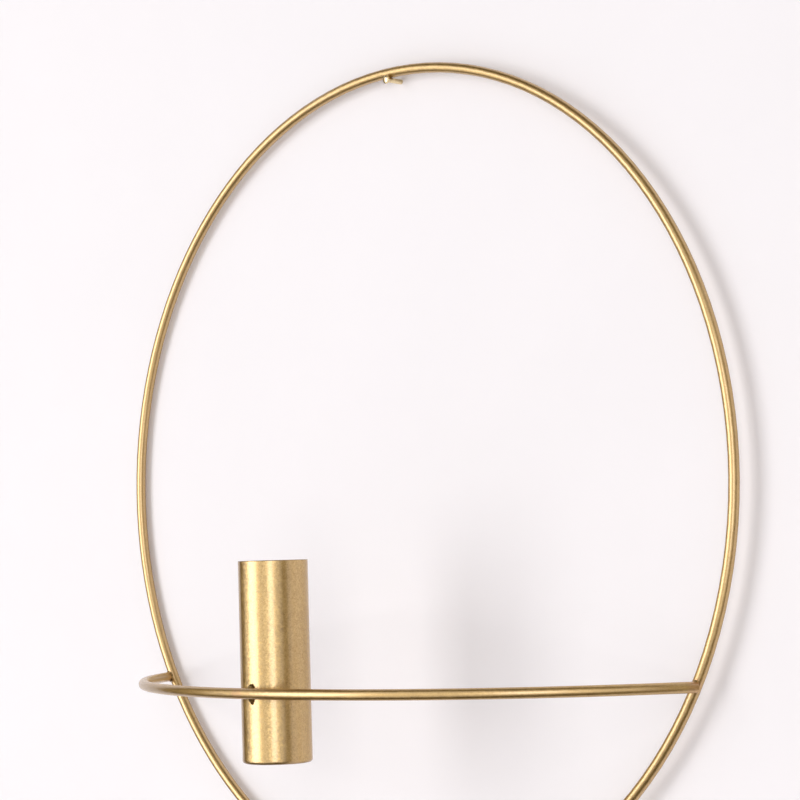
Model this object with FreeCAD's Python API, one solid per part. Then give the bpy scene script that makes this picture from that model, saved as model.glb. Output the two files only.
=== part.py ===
import FreeCAD, Part
import math
import os

# Hanging wall vase, in millimetres. A round wire ring hangs on a wall nail. A hoop of the
# same wire reaches forward from the ring, level, and a slim upright vessel is brazed to the
# inside of the hoop. +X is right, +Y goes into the wall and +Z is up. The origin is on the
# nail's axis, at the wall's surface.

# Wire of the ring and of the hoop
wire_diameter = 5.0
ring_diameter = 400.0           # on the wire's centreline
ring_seam_gap = 1.0             # between the bent wire's two ends
wall_standoff = 7.0             # wall's surface to the ring wire's centreline
hoop_drop = 96.0                # ring's centre down to the hoop's plane
hoop_reach = 104.0              # ring's plane forward to the hoop's centreline
hoop_end_shift = 2.1            # hoop's ends outside the ring's centreline, and as far before it
weld_root_gap = 0.2             # hoop's shaped ends to the ring, filled by the beads
overrun = 5.0                   # how far a cutting shape runs past what it cuts

# Weld beads on the wires
hoop_bead_diameter = 5.3
hoop_bead_place_share = 0.85    # bead's middle, on the way from the ring's centreline to the hoop's
seam_bead_height = 0.4
seam_bead_length = 3.2
seam_bead_edge_share = 0.4      # height of the seam bead's two ends, of its crown's height

# Vessel
vessel_diameter = 32.0
vessel_wall = 1.0
vessel_height = 92.0
vessel_grip_share = 0.35        # height of the hoop's plane above the vessel's base
vessel_rim_round_share = 0.3    # rounding of the rim's two edges
base_thickness = 1.0
base_edge_radius = 1.5
base_inner_bend_share = 0.35    # bend inside the base, of the one outside

# Brazing lumps between the hoop and the vessel
lump_width = 3.4
lump_side_shift = 1.5           # lumps to the right of where the wire touches the vessel
lump_bite_share = 0.5           # how much of its half width a lump would sink into the vessel
lump_root_share = 0.4           # where a lump starts, up or down from the hoop's plane
upper_lump_rise = 2.2           # above the hoop wire
lower_lump_drop = 2.6           # below the hoop wire
lower_lump_tip_share = 0.2
lower_lump_shoulder_share = 0.9

# Wall nail
nail_neck_diameter = 2.4        # the part in front of the wall, which carries the ring
nail_shank_diameter = 2.0       # the part driven into the wall
nail_shank_length = 20.0
nail_point_length = 3.0
nail_tip_share = 0.15
nail_head_diameter = 4.0
nail_head_thickness = 1.2
nail_head_dome = 0.5
nail_head_flat_diameter = 0.8   # the small flat in the middle of the head
hang_clearance = 0.1            # ring wire above the nail's neck
head_clearance = 0.4            # ring wire behind the nail's head

# Radii and places that follow
wire_radius = wire_diameter / 2
ring_radius = ring_diameter / 2
vessel_radius = vessel_diameter / 2
lump_radius = lump_width / 2
neck_radius = nail_neck_diameter / 2
shank_radius = nail_shank_diameter / 2
head_radius = nail_head_diameter / 2
head_flat_radius = nail_head_flat_diameter / 2

ring_y = -wall_standoff
ring_z = neck_radius + hang_clearance + wire_radius - ring_radius
hoop_z = ring_z - hoop_drop
ring_half_chord = math.sqrt(ring_radius ** 2 - hoop_drop ** 2)
hoop_half_chord = ring_half_chord + hoop_end_shift
hoop_depth = hoop_reach - hoop_end_shift
hoop_radius = (hoop_half_chord ** 2 + hoop_depth ** 2) / (2 * hoop_depth)
hoop_centre_y = ring_y - hoop_reach + hoop_radius
hoop_half_angle = math.atan2(hoop_half_chord, hoop_radius - hoop_depth)
vessel_front_y = ring_y - hoop_reach + wire_radius
vessel_y = vessel_front_y + vessel_radius
vessel_base_z = hoop_z - vessel_height * vessel_grip_share

RIGHT = FreeCAD.Vector(1, 0, 0)
INTO_WALL = FreeCAD.Vector(0, 1, 0)
UP = FreeCAD.Vector(0, 0, 1)
RING_CENTRE = FreeCAD.Vector(0, ring_y, ring_z)
HOOP_CENTRE = FreeCAD.Vector(0, hoop_centre_y, hoop_z)


def bent_wire(start, centre, axis, first_angle, last_angle):
    """A round wire bent about an axis, between two angles from its start point."""
    disc = Part.Face(Part.Wire(Part.Circle(start, RIGHT, wire_radius).toShape()))
    disc.rotate(centre, axis, math.degrees(first_angle))
    return disc.revolve(centre, axis, math.degrees(last_angle - first_angle))


def turned(edges, foot, axis, side):
    """A solid turned about an axis from edges given as points (out, along)."""
    def place(point):
        out, along = point
        return foot + side * out + axis * along

    lines = []
    for edge in edges:
        points = [place(point) for point in edge]
        if len(points) == 3:
            lines.append(Part.Arc(*points).toShape())
        else:
            lines.append(Part.LineSegment(*points).toShape())
    return Part.Face(Part.Wire(lines)).revolve(foot, axis, 360)


def chain(points):
    """Straight edges from each point to the next."""
    return list(zip(points, points[1:]))


def ring_wire():
    """The large ring, one wire bent to a circle with its two ends at the bottom."""
    bottom = RING_CENTRE - UP * ring_radius
    half_gap = ring_seam_gap / 2 / ring_radius
    return bent_wire(bottom, RING_CENTRE, INTO_WALL, half_gap, 2 * math.pi - half_gap)


def ring_seam_weld(ring):
    """The bead that joins the ring wire's two ends and stands out a little all round."""
    half_length = seam_bead_length / 2
    crown = wire_radius + seam_bead_height
    edge = wire_radius + seam_bead_height * seam_bead_edge_share
    arc = ((edge, -half_length), (crown, 0), (edge, half_length))
    flat_ends = chain([(edge, half_length), (0, half_length), (0, -half_length),
                       (edge, -half_length)])
    bottom = RING_CENTRE - UP * ring_radius
    return turned([arc] + flat_ends, bottom, RIGHT, UP).cut(ring)


def ring_at_hoop(side):
    """The point of the ring's centreline on the hoop's level. side is -1 or 1."""
    return FreeCAD.Vector(side * ring_half_chord, ring_y, hoop_z)


def hoop_wire():
    """The level hoop, an arc of wire whose two ends are shaped to the ring's outer side.

    Its middle stretch, which lies under the brazing lumps, is an arc of its own.
    """
    front = HOOP_CENTRE - INTO_WALL * hoop_radius
    grip = (lump_width + lump_side_shift) / hoop_radius
    bends = chain([-hoop_half_angle, -grip, grip, hoop_half_angle])
    left, middle, right = [bent_wire(front, HOOP_CENTRE, UP, *angles) for angles in bends]
    hoop = middle.fuse([left, right])
    half_length = wire_radius + overrun
    for side in (-1, 1):
        along_ring = FreeCAD.Vector(side * hoop_drop, 0, ring_half_chord) / ring_radius
        start = ring_at_hoop(side) - along_ring * half_length
        cutter = Part.makeCylinder(wire_radius + weld_root_gap, 2 * half_length, start, along_ring)
        hoop = hoop.cut(cutter)
    return hoop


def hoop_weld(side, ring, hoop):
    """The bead in the corner between one end of the hoop and the ring. side is -1 or 1."""
    hoop_end = FreeCAD.Vector(side * hoop_half_chord, ring_y - hoop_end_shift, hoop_z)
    middle = ring_at_hoop(side)
    middle += (hoop_end - middle) * hoop_bead_place_share
    return Part.makeSphere(hoop_bead_diameter / 2, middle).cut(ring).cut(hoop)


def quarter_round(middle_out, middle_along, radius):
    """A quarter round that turns from down to outward, as the base's edge does."""
    slant = radius * math.sqrt(0.5)
    return ((middle_out, middle_along - radius), (middle_out + slant, middle_along - slant),
            (middle_out + radius, middle_along))


def vessel_base():
    """The pressed cap that closes the vessel and is brazed to the tube's lower end."""
    foot = FreeCAD.Vector(0, vessel_y, vessel_base_z)
    cap_height = base_edge_radius + base_thickness
    inner_radius = vessel_radius - vessel_wall
    inner_bend_radius = base_edge_radius * base_inner_bend_share
    outer = quarter_round(vessel_radius - base_edge_radius, base_edge_radius,
                          base_edge_radius)
    inner = quarter_round(inner_radius - inner_bend_radius,
                          base_thickness + inner_bend_radius, inner_bend_radius)
    wall = chain([outer[-1], (vessel_radius, cap_height), (inner_radius, cap_height), inner[-1]])
    floor = chain([inner[0], (0, base_thickness), (0, 0), outer[0]])
    return turned([outer] + wall + [inner] + floor, foot, UP, RIGHT)


def vessel_tube():
    """The vessel's upright tube, open at the top, which stands on the base's cap."""
    start = base_edge_radius + base_thickness
    foot = FreeCAD.Vector(0, vessel_y, vessel_base_z + start)
    length = vessel_height - start
    inner_radius = vessel_radius - vessel_wall
    tube = Part.makeCylinder(vessel_radius, length, foot)
    tube = tube.cut(Part.makeCylinder(inner_radius, length, foot))
    rim = [edge for edge in tube.Edges if edge.BoundBox.ZMin > foot.z + length / 2]
    return tube.makeFillet(vessel_wall * vessel_rim_round_share, rim)


def upper_lump_edges():
    """Half outline of the lump on top of the hoop wire, with a domed top."""
    root = wire_radius * lump_root_share
    top = wire_radius + upper_lump_rise
    shoulder = top - lump_radius
    slant = lump_radius * math.sqrt(0.5)
    dome = ((lump_radius, shoulder), (slant, shoulder + slant), (0, top))
    return [dome] + chain([(0, top), (0, root), (lump_radius, root), (lump_radius, shoulder)])


def lower_lump_edges():
    """Half outline of the drip under the hoop wire, which runs out to a blunt point."""
    root = wire_radius * lump_root_share
    shoulder = wire_radius * lower_lump_shoulder_share
    tip = wire_radius + lower_lump_drop
    tip_radius = lump_radius * lower_lump_tip_share
    return chain([(0, root), (lump_radius, root), (lump_radius, shoulder), (tip_radius, tip),
                  (0, tip), (0, root)])


def vessel_weld(edges, away, hoop, tube):
    """A brazing lump in the corner between the hoop wire and the vessel's front."""
    bite = lump_radius * (1 - lump_bite_share)
    foot = FreeCAD.Vector(lump_side_shift, vessel_front_y - bite, hoop_z)
    return turned(edges, foot, away, RIGHT).cut(hoop).cut(tube)


def wall_nail():
    """The nail: domed head, neck that carries the ring, shank in the wall and point.

    The head's dome starts level at the edge of the small flat in its middle.
    """
    head_back = ring_y - wire_radius - head_clearance
    head_front = head_back - nail_head_thickness
    point = nail_shank_length + nail_point_length
    tip_radius = shank_radius * nail_tip_share
    dome_width = head_radius - head_flat_radius
    dome_radius = (dome_width ** 2 + nail_head_dome ** 2) / (2 * nail_head_dome)
    half_way = math.asin(dome_width / dome_radius) / 2
    dome_middle = (head_flat_radius + dome_radius * math.sin(half_way),
                   head_front + dome_radius * (1 - math.cos(half_way)))
    head_rim = (head_radius, head_front + nail_head_dome)
    flat_edge = (head_flat_radius, head_front)
    dome = (flat_edge, dome_middle, head_rim)
    rest = chain([head_rim, (head_radius, head_back), (neck_radius, head_back),
                  (neck_radius, 0), (shank_radius, 0), (shank_radius, nail_shank_length),
                  (tip_radius, point), (0, point), (0, head_front), flat_edge])
    return turned([dome] + rest, FreeCAD.Vector(0, 0, 0), INTO_WALL, RIGHT)


def write_parts():
    """Write each piece to its own STEP file, named after the piece."""
    ring = ring_wire()
    hoop = hoop_wire()
    tube = vessel_tube()
    parts = {
        "ring_wire": ring,
        "ring_seam_weld": ring_seam_weld(ring),
        "hoop_wire": hoop,
        "hoop_weld_left": hoop_weld(-1, ring, hoop),
        "hoop_weld_right": hoop_weld(1, ring, hoop),
        "vessel_tube": tube,
        "vessel_base": vessel_base(),
        "vessel_weld_upper": vessel_weld(upper_lump_edges(), UP, hoop, tube),
        "vessel_weld_lower": vessel_weld(lower_lump_edges(), -UP, hoop, tube),
        "wall_nail": wall_nail(),
    }
    os.makedirs("parts", exist_ok=True)
    for name, shape in parts.items():
        print(name, len(shape.Solids), "solid", round(shape.Volume, 1), "mm3", shape.isValid())
        shape.exportStep(os.path.join("parts", name + ".step"))


write_parts()
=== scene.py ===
import math
import random
import bmesh
import bpy
from mathutils import Matrix, Vector


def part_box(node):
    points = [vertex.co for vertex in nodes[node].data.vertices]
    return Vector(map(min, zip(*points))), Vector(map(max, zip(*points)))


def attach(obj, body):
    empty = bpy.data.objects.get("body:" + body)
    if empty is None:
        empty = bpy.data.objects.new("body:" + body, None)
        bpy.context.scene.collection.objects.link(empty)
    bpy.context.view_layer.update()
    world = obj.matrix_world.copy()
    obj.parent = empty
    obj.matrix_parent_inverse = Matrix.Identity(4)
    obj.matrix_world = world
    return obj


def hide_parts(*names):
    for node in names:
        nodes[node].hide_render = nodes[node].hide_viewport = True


# Hanging wall vase, in metres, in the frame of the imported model. The origin is on the nail's
# axis at the wall's surface, +Y goes into the wall and +Z is up. The camera, the room and the
# lamps come first, then the finishes, then the welds, which stand in for the plain CAD ones.

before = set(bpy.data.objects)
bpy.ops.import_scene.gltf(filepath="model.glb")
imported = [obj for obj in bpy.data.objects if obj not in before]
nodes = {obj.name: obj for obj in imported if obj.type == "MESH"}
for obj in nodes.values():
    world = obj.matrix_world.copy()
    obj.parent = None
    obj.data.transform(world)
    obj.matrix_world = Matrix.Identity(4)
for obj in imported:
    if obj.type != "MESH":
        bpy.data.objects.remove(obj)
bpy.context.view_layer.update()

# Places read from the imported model
ring_low, ring_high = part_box("ring_wire")
hoop_low, hoop_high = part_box("hoop_wire")
tube_low, tube_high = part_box("vessel_tube")
base_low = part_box("vessel_base")[0]

wire_radius = 0.0025
ring_centre = (ring_low + ring_high) / 2
ring_radius = (ring_high.x - ring_low.x) / 2 - wire_radius
hoop_z = (hoop_low.z + hoop_high.z) / 2
hoop_front_y = hoop_low.y + wire_radius
hoop_drop = ring_centre.z - hoop_z
hoop_end_shift = 0.0021             # hoop's ends outside the ring's centreline and before it
lump_side_shift = 0.0015            # lumps right of where the wire touches the vessel
ring_half_chord = math.sqrt(ring_radius ** 2 - hoop_drop ** 2)
hoop_half_chord = ring_half_chord + hoop_end_shift
hoop_depth = ring_centre.y - hoop_end_shift - hoop_front_y
hoop_radius = (hoop_half_chord ** 2 + hoop_depth ** 2) / (2 * hoop_depth)
vessel_axis = (tube_low + tube_high) / 2
vessel_radius = (tube_high.x - tube_low.x) / 2
vessel_front = Vector((0, hoop_front_y + wire_radius, hoop_z))
lump_foot = vessel_front + Vector((lump_side_shift, 0, 0))

# Camera, at the photograph's viewing angle
photo_azimuth = math.radians(45.0)
photo_elevation = math.radians(-3.73)
photo_roll = math.radians(-1.645)
photo_distance = 1.1996
photo_lens = 111.4
photo_aim = Vector((-0.0001, -0.007, -0.1566))
sensor_width = 36.0
clip_near = 0.01
clip_far = 50


def direction(azimuth, elevation):
    """Unit vector from the object towards a camera or lamp at that azimuth and elevation."""
    flat = math.cos(elevation)
    return Vector((math.sin(azimuth) * flat, -math.cos(azimuth) * flat, math.sin(elevation)))


def link(item):
    bpy.context.scene.collection.objects.link(item)
    return item


def make_camera():
    data = bpy.data.cameras.new("camera")
    data.lens = photo_lens
    data.sensor_width = sensor_width
    data.dof.use_dof = False
    data.clip_start = clip_near
    data.clip_end = clip_far
    camera = link(bpy.data.objects.new("camera", data))
    back = direction(photo_azimuth, photo_elevation)
    camera.location = photo_aim + back * photo_distance
    camera.rotation_mode = "QUATERNION"
    roll = Matrix.Rotation(photo_roll, 3, "Z").to_quaternion()
    camera.rotation_quaternion = (-back).to_track_quat("-Z", "Y") @ roll
    bpy.context.scene.camera = camera


make_camera()
bpy.context.scene.view_settings.view_transform = "Standard"


# Node trees

class Tree:
    """A node tree with short calls for adding nodes and joining their sockets."""

    def __init__(self, owner):
        owner.use_nodes = True
        self.tree = owner.node_tree
        self.tree.nodes.clear()

    def add(self, kind, inputs=None, **settings):
        node = self.tree.nodes.new(kind)
        for name, value in settings.items():
            setattr(node, name, value)
        for name, value in (inputs or {}).items():
            self.put(node.inputs[name], value)
        return node

    def put(self, socket, value):
        if isinstance(value, bpy.types.NodeSocket):
            self.tree.links.new(value, socket)
        else:
            socket.default_value = value

    def math(self, operation, *values, clamp=False):
        node = self.add("ShaderNodeMath", operation=operation, use_clamp=clamp)
        for socket, value in zip(node.inputs, values):
            self.put(socket, value)
        return node.outputs[0]

    def remap(self, value, from_min, from_max, to_min=0.0, to_max=1.0, smooth=False):
        node = self.add("ShaderNodeMapRange", {
            "Value": value, "From Min": from_min, "From Max": from_max,
            "To Min": to_min, "To Max": to_max})
        if smooth:
            node.interpolation_type = "SMOOTHSTEP"
        return node.outputs["Result"]

    def blend(self, share, first, second):
        node = self.add("ShaderNodeMix", data_type="RGBA")
        for index, value in ((0, share), (6, first), (7, second)):
            self.put(node.inputs[index], value)
        return node.outputs[2]

    def noise(self, place, scale, detail=2.0):
        node = self.add("ShaderNodeTexNoise", {"Vector": place, "Scale": scale, "Detail": detail})
        return node.outputs["Fac"]

    def cells(self, place, scale):
        """Random value of the voronoi cell at each point."""
        node = self.add("ShaderNodeTexVoronoi", {"Vector": place, "Scale": scale})
        return self.add("ShaderNodeSeparateColor", {"Color": node.outputs["Color"]}).outputs["Red"]

    def near(self, place, point, inner, outer):
        """One within the inner distance from a point, down to zero at the outer distance."""
        gap = self.add("ShaderNodeVectorMath", operation="DISTANCE")
        self.put(gap.inputs[0], place)
        self.put(gap.inputs[1], point)
        return self.remap(gap.outputs["Value"], inner, outer, 1.0, 0.0, smooth=True)

    def finish(self, shader, output="ShaderNodeOutputMaterial"):
        self.add(output, {"Surface": shader})


# Room: a wall behind, a floor well below, both seen only from the side that faces the object

room_half_width = 3.0
wall_height = 3.2
floor_drop = 1.05
floor_past_wall = 0.06
wall_skew = math.radians(0.9)       # the ring hangs a little nearer to the wall at its left
wall_tint = (0.945, 0.917, 0.933, 1)
floor_tint = (0.90, 0.88, 0.875, 1)
floor_plain_share = 0.75
room_mottle_scale = 9.0
studio_light = (0.45, 0.44, 0.44, 1)        # what falls on the object from all round
studio_shown = (0.90, 0.88, 0.88, 1)        # what is seen past the wall and the floor


def shown_rays(tree):
    """One for the rays by which the background is seen, directly or in a reflection."""
    rays = tree.add("ShaderNodeLightPath").outputs
    shown = tree.math("MAXIMUM", rays["Is Camera Ray"], rays["Is Glossy Ray"])
    return tree.math("MAXIMUM", shown, rays["Is Transmission Ray"])


def paint(name, tint, plain_share=0.0):
    """A pale matt surface with a faint mottle, and nothing at all when seen from its back.

    plain_share is how much of its tint is seen evenly, whatever light falls on it.
    """
    material = bpy.data.materials.new(name)
    tree = Tree(material)
    place = tree.add("ShaderNodeTexCoord").outputs["Object"]
    mottle = tree.remap(tree.noise(place, room_mottle_scale, 3.0), 0.3, 0.7, 0.985, 1.0)
    colour = tree.add("ShaderNodeVectorMath", operation="SCALE")
    tree.put(colour.inputs[0], tint[:3])
    tree.put(colour.inputs["Scale"], mottle)
    lit = tree.add("ShaderNodeBsdfDiffuse", {"Color": colour.outputs[0]})
    plain = tree.add("ShaderNodeEmission", {"Color": colour.outputs[0]})
    share = tree.math("MULTIPLY", shown_rays(tree), plain_share)
    front = tree.add("ShaderNodeMixShader", {0: share, 1: lit.outputs[0], 2: plain.outputs[0]})
    back = tree.add("ShaderNodeBsdfTransparent")
    facing = tree.add("ShaderNodeNewGeometry").outputs["Backfacing"]
    mixed = tree.add("ShaderNodeMixShader", {0: facing, 1: front.outputs[0], 2: back.outputs[0]})
    tree.finish(mixed.outputs[0])
    return material


def panel(name, corners, material):
    mesh = bpy.data.meshes.new(name)
    mesh.from_pydata(corners, [], [(0, 1, 2, 3)])
    mesh.materials.append(material)
    item = link(bpy.data.objects.new(name, mesh))
    return item


def make_room():
    floor_z = ring_centre.z - floor_drop
    top_z = floor_z + wall_height
    w = room_half_width
    y = w * math.tan(wall_skew)
    panel("wall", [(-w, -y, floor_z), (w, y, floor_z), (w, y, top_z), (-w, -y, top_z)],
          paint("wall_paint", wall_tint))
    near, far = -2 * w, floor_past_wall
    panel("floor", [(-w, near, floor_z), (w, near, floor_z), (w, far, floor_z), (-w, far, floor_z)],
          paint("floor_paint", floor_tint, floor_plain_share))


# Lamps: two tall soft boxes, one to the left and one behind the camera. Dark cards beside, above
# and below give the metal its dark bands, as in a product photograph. They show in the metal's
# gloss alone: the camera doesn't see them, and they change nothing on the wall.

card_dark = (0.08, 0.055, 0.03, 1)
card_brown = (0.14, 0.10, 0.06, 1)


def place_facing(item, azimuth, elevation, distance):
    """Set an object round the ring, turned towards it."""
    back = direction(math.radians(azimuth), math.radians(elevation))
    item.location = ring_centre + back * distance
    item.rotation_mode = "QUATERNION"
    item.rotation_quaternion = (-back).to_track_quat("-Z", "Y")
    item.visible_camera = False


def soft_box(name, azimuth, elevation, distance, width, height, power):
    data = bpy.data.lights.new(name, "AREA")
    data.shape = "RECTANGLE"
    data.size = width
    data.size_y = height
    data.energy = power
    place_facing(link(bpy.data.objects.new(name, data)), azimuth, elevation, distance)


def dark_card(name, azimuth, elevation, distance, width, height, tint=card_dark):
    material = bpy.data.materials.new(name)
    tree = Tree(material)
    tree.finish(tree.add("ShaderNodeBsdfDiffuse", {"Color": tint}).outputs[0])
    x, y = width / 2, height / 2
    card = panel(name, [(-x, -y, 0), (x, -y, 0), (x, y, 0), (-x, y, 0)], material)
    place_facing(card, azimuth, elevation, distance)
    card.visible_shadow = False
    card.visible_diffuse = False


def make_world():
    world = bpy.data.worlds.new("studio")
    bpy.context.scene.world = world
    tree = Tree(world)
    colour = tree.blend(shown_rays(tree), studio_light, studio_shown)
    background = tree.add("ShaderNodeBackground", {"Color": colour, "Strength": 1.0})
    tree.finish(background.outputs[0], output="ShaderNodeOutputWorld")


make_room()
soft_box("key", azimuth=-26, elevation=3, distance=2.6, width=1.45, height=2.0, power=31)
soft_box("fill", azimuth=38, elevation=3, distance=2.6, width=0.75, height=1.8, power=13)
dark_card("card_left", azimuth=-78, elevation=0, distance=1.6, width=0.9, height=2.2)
dark_card("card_right", azimuth=82, elevation=0, distance=1.6, width=0.6, height=2.2,
          tint=card_brown)
dark_card("card_top", azimuth=0, elevation=78, distance=1.3, width=3.0, height=1.4)
dark_card("card_below", azimuth=0, elevation=-72, distance=1.0, width=3.0, height=1.0)
make_world()


# Finishes. Every pattern is set in the part's own coordinates, in metres.

gold_deep = (0.44, 0.265, 0.075, 1)
gold_pale = (0.69, 0.47, 0.175, 1)
# painted shade: the dark colour laid along the vessel's rim and rounded bottom edge
painted_edge_shade = (0.22, 0.14, 0.05, 1)
gold_speck = (0.16, 0.09, 0.03, 1)
scorch_dark = (0.13, 0.095, 0.035, 1)
scorch_brown = (0.26, 0.165, 0.055, 1)
blush = (0.62, 0.33, 0.15, 1)
bare_inside = (0.36, 0.26, 0.13, 1)
nail_brass = (0.82, 0.68, 0.42, 1)
nail_tarnish = (0.42, 0.30, 0.13, 1)
gold_grazing = (0.5, 0.37, 0.2, 1)  # tint of the gold's reflection at its outline
flake_scale = 1450
flake_tilt = 0.16
grain_scale = 3200
relief_scale = 1700
mottle_scale = 140
drift_scale = 12
speck_scale = 170
nail_turned_lines = 26000.0         # radians of the turned lines' wave in a metre
overspray_depth = 0.018             # how far paint reaches down inside the vessel
joint_heat_reach = 0.005
joint_heat_back = 0.0015            # heat's middle, back along the hoop from its end
lump_heat_reach = 0.0045
lump_heat_shift = Vector((-0.0052, -0.0045, 0))     # from the lumps' foot, to the wire's front


class Finish(Tree):
    """A metal finish built up on one shader: colour, roughness and fine relief."""

    def __init__(self, name):
        self.material = bpy.data.materials.new(name)
        super().__init__(self.material)
        self.place = self.add("ShaderNodeTexCoord").outputs["Object"]
        self.grain = self.cells(self.place, grain_scale)
        self.mottle = self.noise(self.place, mottle_scale, 3.0)
        self.drift = self.noise(self.place, drift_scale)

    def mean(self, first, second):
        return self.math("MULTIPLY", self.math("ADD", first, second), 0.5)

    def gold(self, contrast=1.0):
        """Gold paint: pale and deep flakes, clouded a little, with a few dark specks."""
        flakes = self.mean(self.cells(self.place, flake_scale), self.grain)
        flakes = self.remap(flakes, 0.0, 1.0, 0.5 - contrast / 2, 0.5 + contrast / 2)
        clouds = self.mean(self.mottle, self.drift)
        share = self.math("ADD", flakes, self.remap(clouds, 0.3, 0.7, -0.15, 0.15), clamp=True)
        colour = self.blend(share, gold_deep, gold_pale)
        return self.blend(self.specks(), colour, gold_speck)

    def specks(self):
        """Small dark specks in a few cells of a coarse pattern."""
        node = self.add("ShaderNodeTexVoronoi", {"Vector": self.place, "Scale": speck_scale})
        chosen = self.add("ShaderNodeSeparateColor", {"Color": node.outputs["Color"]})
        few = self.remap(chosen.outputs["Red"], 0.88, 0.92)
        small = self.remap(node.outputs["Distance"], 0.04, 0.09, 1.0, 0.0)
        return self.math("MULTIPLY", self.math("MULTIPLY", few, small), 0.7)

    def roughness(self, middle, spread=0.08):
        fine = self.remap(self.grain, 0.0, 1.0, middle - spread / 2, middle + spread / 2)
        return self.math("ADD", fine, self.remap(self.mottle, 0.3, 0.7, -0.02, 0.02))

    def axis(self, name):
        """One coordinate of the place: X, Y or Z."""
        return self.add("ShaderNodeSeparateXYZ", {"Vector": self.place}).outputs[name]

    def distance(self, first, second):
        """Distance from a line, of a place that lies first and second away from it."""
        squares = self.math("ADD", self.math("MULTIPLY", first, first),
                            self.math("MULTIPLY", second, second))
        return self.math("SQRT", squares)

    def bump(self, strength, depth, height):
        node = self.add("ShaderNodeBump", {
            "Strength": strength, "Distance": depth, "Height": height})
        return node.outputs[0]

    def relief(self, strength, depth, scale=relief_scale):
        return self.bump(strength, depth, self.noise(self.place, scale))

    def sparkle(self, amount, under):
        """Tilt the surface of each flake a little, at random."""
        node = self.add("ShaderNodeTexVoronoi", {"Vector": self.place, "Scale": flake_scale})
        tilt = self.add("ShaderNodeVectorMath", operation="SUBTRACT")
        self.put(tilt.inputs[0], node.outputs["Color"])
        self.put(tilt.inputs[1], (0.5, 0.5, 0.5))
        small = self.add("ShaderNodeVectorMath", operation="SCALE")
        self.put(small.inputs[0], tilt.outputs[0])
        self.put(small.inputs["Scale"], amount)
        added = self.add("ShaderNodeVectorMath", operation="ADD")
        self.put(added.inputs[0], under)
        self.put(added.inputs[1], small.outputs[0])
        unit = self.add("ShaderNodeVectorMath", operation="NORMALIZE")
        self.put(unit.inputs[0], added.outputs[0])
        return unit.outputs[0]

    def shade(self, colour, rough, normal, metal=1.0, coat=0.0, coat_rough=0.2, coat_ior=1.5,
              edge=(1, 1, 1, 1)):
        shader = self.add("ShaderNodeBsdfPrincipled", {
            "Base Color": colour, "Metallic": metal, "Roughness": rough, "Normal": normal,
            "Specular Tint": edge, "Coat Weight": coat, "Coat Roughness": coat_rough,
            "Coat IOR": coat_ior})
        self.finish(shader.outputs[0])
        return self.material


def gold_paint(name, rough, contrast, mark):
    """The satin gold paint of the wires and the vessel. mark changes its colour in places.

    contrast is how much its flakes differ from each other in colour and tilt.
    """
    finish = Finish(name)
    colour = mark(finish, finish.gold(contrast))
    normal = finish.sparkle(flake_tilt * contrast, finish.relief(0.35 * contrast, 0.00005))
    return finish.shade(colour, finish.roughness(rough), normal, coat=1.0, coat_rough=0.22,
                        coat_ior=1.85, edge=gold_grazing)


def heat_marks(spots):
    """A mark that reddens the paint round each spot (point, reach) and burns its middle brown."""
    def mark(finish, colour):
        for point, reach in spots:
            warm = finish.near(finish.place, point, reach * 0.4, reach)
            warm = finish.math("MULTIPLY", warm, finish.remap(finish.mottle, 0.3, 0.7, 0.45, 1.1))
            colour = finish.blend(finish.math("MULTIPLY", warm, 0.7), colour, blush)
            burnt = finish.near(finish.place, point, reach * 0.25, reach * 0.55)
            burnt = finish.math("MULTIPLY", burnt, finish.remap(finish.mottle, 0.42, 0.62))
            colour = finish.blend(burnt, colour, scorch_brown)
        return colour
    return mark


def vessel_marks(finish, colour):
    """Painted shade darkening the rim and the rounded bottom edge, and bare metal inside the
    vessel.

    Some paint has drifted in over the rim, and the underside of the base is painted.
    """
    height = finish.axis("Z")
    # Painted shade: the colour darkens in thin bands along the rim and the rounded bottom edge.
    rim = finish.remap(height, tube_high.z - 0.0005, tube_high.z - 0.0001)
    bend = finish.remap(height, base_low.z + 0.0012, base_low.z + 0.0004)
    shaded_edges = finish.math("MAXIMUM", rim, bend)
    colour = finish.blend(finish.math("MULTIPLY", shaded_edges, 0.75), colour, painted_edge_shade)
    colour = heat_marks([(lump_foot, lump_heat_reach)])(finish, colour)
    across = finish.math("SUBTRACT", finish.axis("X"), vessel_axis.x)
    out = finish.distance(across, finish.math("SUBTRACT", finish.axis("Y"), vessel_axis.y))
    inside = finish.remap(out, vessel_radius - 0.0006, vessel_radius - 0.0003, 1.0, 0.0)
    overspray = finish.remap(height, tube_high.z - overspray_depth, tube_high.z - 0.001)
    cover = finish.math("MULTIPLY", overspray, finish.remap(finish.mottle, 0.35, 0.6))
    dull = finish.blend(cover, bare_inside, colour)
    above_floor = finish.remap(height, base_low.z + 0.0007, base_low.z + 0.0009)
    return finish.blend(finish.math("MULTIPLY", inside, above_floor), colour, dull)


def weld_finish(name, share_of_scorch, rough):
    """Gold paint over a weld or brazing, with burnt patches of olive and brown."""
    finish = Finish(name)
    patches = finish.noise(finish.place, 900, 3.0)
    burnt = finish.blend(finish.remap(patches, 0.35, 0.65), scorch_dark, scorch_brown)
    low = 0.85 - share_of_scorch
    cover = finish.remap(finish.noise(finish.place, 420, 2.0), low - 0.15, low + 0.1)
    colour = finish.blend(cover, finish.gold(), burnt)
    normal = finish.relief(0.5, 0.0001, scale=2200)
    return finish.shade(colour, finish.roughness(rough), normal, metal=0.9, coat=0.2,
                        coat_rough=0.25)


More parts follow.
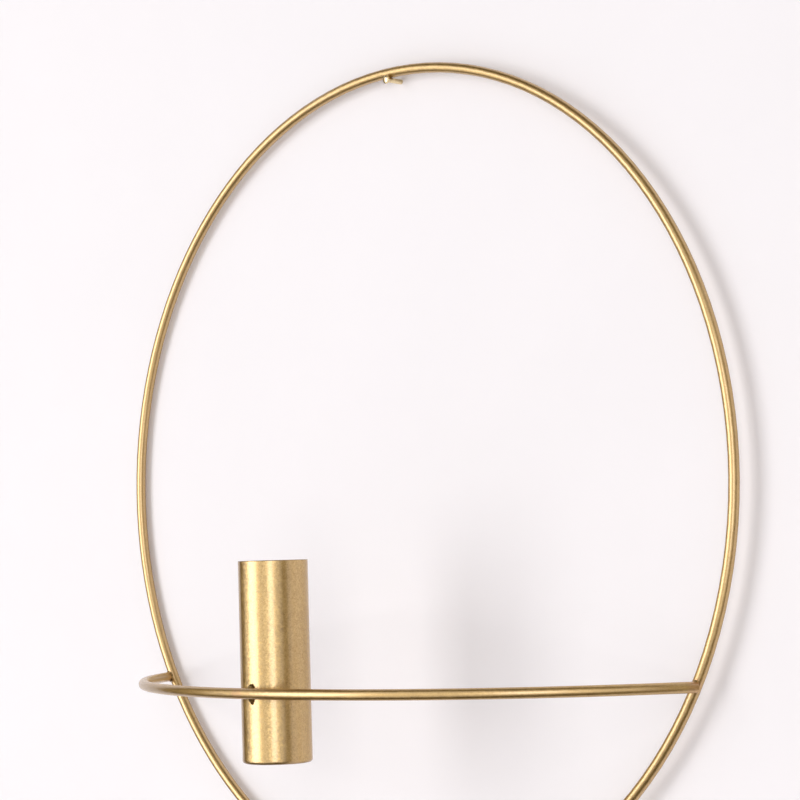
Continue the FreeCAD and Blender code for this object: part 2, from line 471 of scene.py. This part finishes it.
def nail_finish():
    """Bright brass with fine turned lines round the nail's axis, tarnished in patches."""
    finish = Finish("nail_brass")
    out = finish.distance(finish.axis("X"), finish.axis("Z"))
    lines = finish.math("SINE", finish.math("MULTIPLY", out, nail_turned_lines))
    tarnish = finish.remap(finish.noise(finish.place, 500, 3.0), 0.45, 0.75, 0.0, 0.8)
    colour = finish.blend(tarnish, nail_brass, nail_tarnish)
    height = finish.math("ADD", finish.math("MULTIPLY", lines, 0.3), finish.grain)
    return finish.shade(colour, finish.roughness(0.24), finish.bump(0.25, 0.00003, height))


def dress(node, material):
    mesh = nodes[node].data
    mesh.materials.clear()
    mesh.materials.append(material)


# Joints: where each end of the hoop meets the ring, and which way both wires run there

corner_bead_share = 0.9             # height of the bead in the corner, of the wire's


class Joint:
    """One end of the hoop at the ring. side is -1 at the left and 1 at the right."""

    def __init__(self, side):
        turn = math.atan2(hoop_half_chord, hoop_radius - hoop_depth)
        self.ring_place = Vector((side * ring_half_chord, ring_centre.y, hoop_z))
        self.end = Vector((side * hoop_half_chord, ring_centre.y - hoop_end_shift, hoop_z))
        self.along_hoop = Vector((side * math.cos(turn), math.sin(turn), 0))
        self.along_ring = Vector((side * hoop_drop, 0, ring_half_chord)) / ring_radius
        self.outwards = Vector((side * math.sin(turn), -math.cos(turn), 0))

    def from_ring(self, vector):
        """What is left of a vector without its part along the ring."""
        return vector - self.along_ring * vector.dot(self.along_ring)

    def seam_point(self, angle):
        """Where the hoop's surface meets the ring's, at an angle round the hoop's wire.

        The angle counts from the side that faces the ring. None where the hoop's wire ends
        before it meets the ring.
        """
        up = Vector((0, 0, 1))
        way = up * math.sin(angle) - self.outwards * math.cos(angle)
        start = self.from_ring(self.end + way * wire_radius - self.ring_place)
        run = self.from_ring(self.along_hoop)
        half = start.dot(run) / run.length_squared
        root = half ** 2 - (start.length_squared - wire_radius ** 2) / run.length_squared
        if root < 0 or -half - math.sqrt(root) > 0:
            return None
        back = -half - math.sqrt(root)
        out = (start + run * back).normalized()
        point = self.end + way * wire_radius + self.along_hoop * back
        return point, (out + way).normalized()

    def corner_point(self, share):
        """A point of the corner between the hoop's cut end and the ring, from -1 to 1 upwards."""
        rise = share * wire_radius * corner_bead_share
        level = self.end + Vector((0, 0, rise))
        across = self.from_ring(level - self.ring_place)
        return level - across + across.normalized() * wire_radius


joints = {"left": Joint(-1), "right": Joint(1)}


# Welds and brazing, built up from small overlapping drops like the real runs, then remeshed

drop_voxel = 0.00014
seam_steps = 60
seam_drop = 0.00055
corner_steps = 6                    # to each side of the corner's middle
corner_drop = 0.00085
ring_seam_steps = 26
ring_seam_rows = (-0.00065, 0.00055)
ring_seam_drop = 0.00085
ring_seam_sink = 0.0005             # drops' middles under the wire's surface


def drops_mesh(name, drops):
    """One closed mesh round many spheres: (place, radius)."""
    mesh = bpy.data.meshes.new(name)
    shape = bmesh.new()
    for place, radius in drops:
        bmesh.ops.create_icosphere(shape, subdivisions=3, radius=radius,
                                   matrix=Matrix.Translation(place))
    shape.to_mesh(mesh)
    shape.free()
    item = link(bpy.data.objects.new(name, mesh))
    remesh = item.modifiers.new("remesh", "REMESH")
    remesh.mode = "VOXEL"
    remesh.voxel_size = drop_voxel
    smooth = item.modifiers.new("smooth", "SMOOTH")
    smooth.factor = 0.5
    smooth.iterations = 3
    return item


def apply_modifiers(item):
    """Put the mesh that an object's modifiers give in place of its own."""
    dressed = item.evaluated_get(bpy.context.evaluated_depsgraph_get())
    final = bpy.data.meshes.new_from_object(dressed)
    item.modifiers.clear()
    item.data = final
    final.polygons.foreach_set("use_smooth", [True] * len(final.polygons))


def weld_piece(node, drops, material):
    """A weld made of drops, which stands for the plain CAD one of the same name."""
    item = drops_mesh(node + "_run", drops)
    apply_modifiers(item)
    item.data.materials.append(material)
    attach(item, "vase")
    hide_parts(node)


def hoop_weld_drops(joint, seed):
    """Drops along the seam of the two wires, and up the corner at the hoop's cut end."""
    chance = random.Random(seed)
    drops = []
    for step in range(seam_steps):
        seam = joint.seam_point(2 * math.pi * step / seam_steps)
        if seam:
            point, out = seam
            radius = seam_drop + chance.uniform(-0.00005, 0.00005)
            drops.append((point + out * chance.uniform(0.00001, 0.00008), radius))
    for step in range(-corner_steps, corner_steps + 1):
        radius = corner_drop + chance.uniform(-0.0001, 0.0001)
        drops.append((joint.corner_point(step / corner_steps), radius))
    return drops


def upper_brazing_drops():
    """A peaked lump in the corner above the hoop wire, leaning on the vessel."""
    return [(lump_foot + Vector((x, y, z)), radius) for x, y, z, radius in (
        (-0.0009, -0.0009, 0.0022, 0.00065), (0.0009, -0.0009, 0.0022, 0.00065),
        (0.0000, -0.0011, 0.0022, 0.00105), (0.0000, -0.0004, 0.0020, 0.00100),
        (-0.0004, -0.0009, 0.0029, 0.00080), (0.0004, -0.0008, 0.0029, 0.00080),
        (0.0000, -0.0009, 0.0031, 0.00085), (0.0001, -0.0006, 0.0037, 0.00060),
        (0.0001, -0.0005, 0.0040, 0.00040))]


def lower_brazing_drops():
    """A drip below the hoop wire that runs down the vessel to a point."""
    return [(lump_foot + Vector((x, y, z)), radius) for x, y, z, radius in (
        (-0.0009, -0.0009, -0.0021, 0.00070), (0.0009, -0.0009, -0.0022, 0.00070),
        (0.0000, -0.0011, -0.0022, 0.00110), (0.0000, -0.0004, -0.0020, 0.00105),
        (0.0000, -0.0009, -0.0030, 0.00090), (0.0001, -0.0007, -0.0036, 0.00070),
        (0.0001, -0.0005, -0.0043, 0.00050), (0.0002, -0.0003, -0.0047, 0.00035),
        (0.0002, -0.0002, -0.0050, 0.00022))]


def seam_drops(seed):
    """Two rows of drops round the ring wire where its two ends meet, filed low."""
    chance = random.Random(seed)
    bottom = ring_centre - Vector((0, 0, ring_radius))
    drops = []
    for row, x in enumerate(ring_seam_rows):
        for step in range(ring_seam_steps):
            angle = 2 * math.pi * (step + 0.5 * row) / ring_seam_steps
            out = Vector((0, math.sin(angle), math.cos(angle)))
            radius = ring_seam_drop + chance.uniform(-0.00006, 0.00006)
            place = bottom + out * (wire_radius - ring_seam_sink) + Vector((x, 0, 0))
            drops.append((place, radius))
    return drops


# Dressing

heat = [(joint.end - joint.along_hoop * joint_heat_back, joint_heat_reach)
        for joint in joints.values()]
heat.append((lump_foot + lump_heat_shift, lump_heat_reach))
wire_gold = gold_paint("wire_gold", rough=0.42, contrast=0.5, mark=heat_marks(heat))
vessel_gold = gold_paint("vessel_gold", rough=0.38, contrast=0.9, mark=vessel_marks)
weld_gold = weld_finish("weld_gold", share_of_scorch=0.35, rough=0.42)
seam_gold = weld_finish("seam_gold", share_of_scorch=0.1, rough=0.40)
brazing_burnt = weld_finish("brazing_burnt", share_of_scorch=0.75, rough=0.45)

for node in ("ring_wire", "hoop_wire"):
    dress(node, wire_gold)
for node in ("vessel_tube", "vessel_base"):
    dress(node, vessel_gold)
dress("wall_nail", nail_finish())

for number, (side, joint) in enumerate(joints.items()):
    weld_piece("hoop_weld_" + side, hoop_weld_drops(joint, 11 + number), weld_gold)
weld_piece("ring_seam_weld", seam_drops(17), seam_gold)
weld_piece("vessel_weld_upper", upper_brazing_drops(), brazing_burnt)
weld_piece("vessel_weld_lower", lower_brazing_drops(), brazing_burnt)
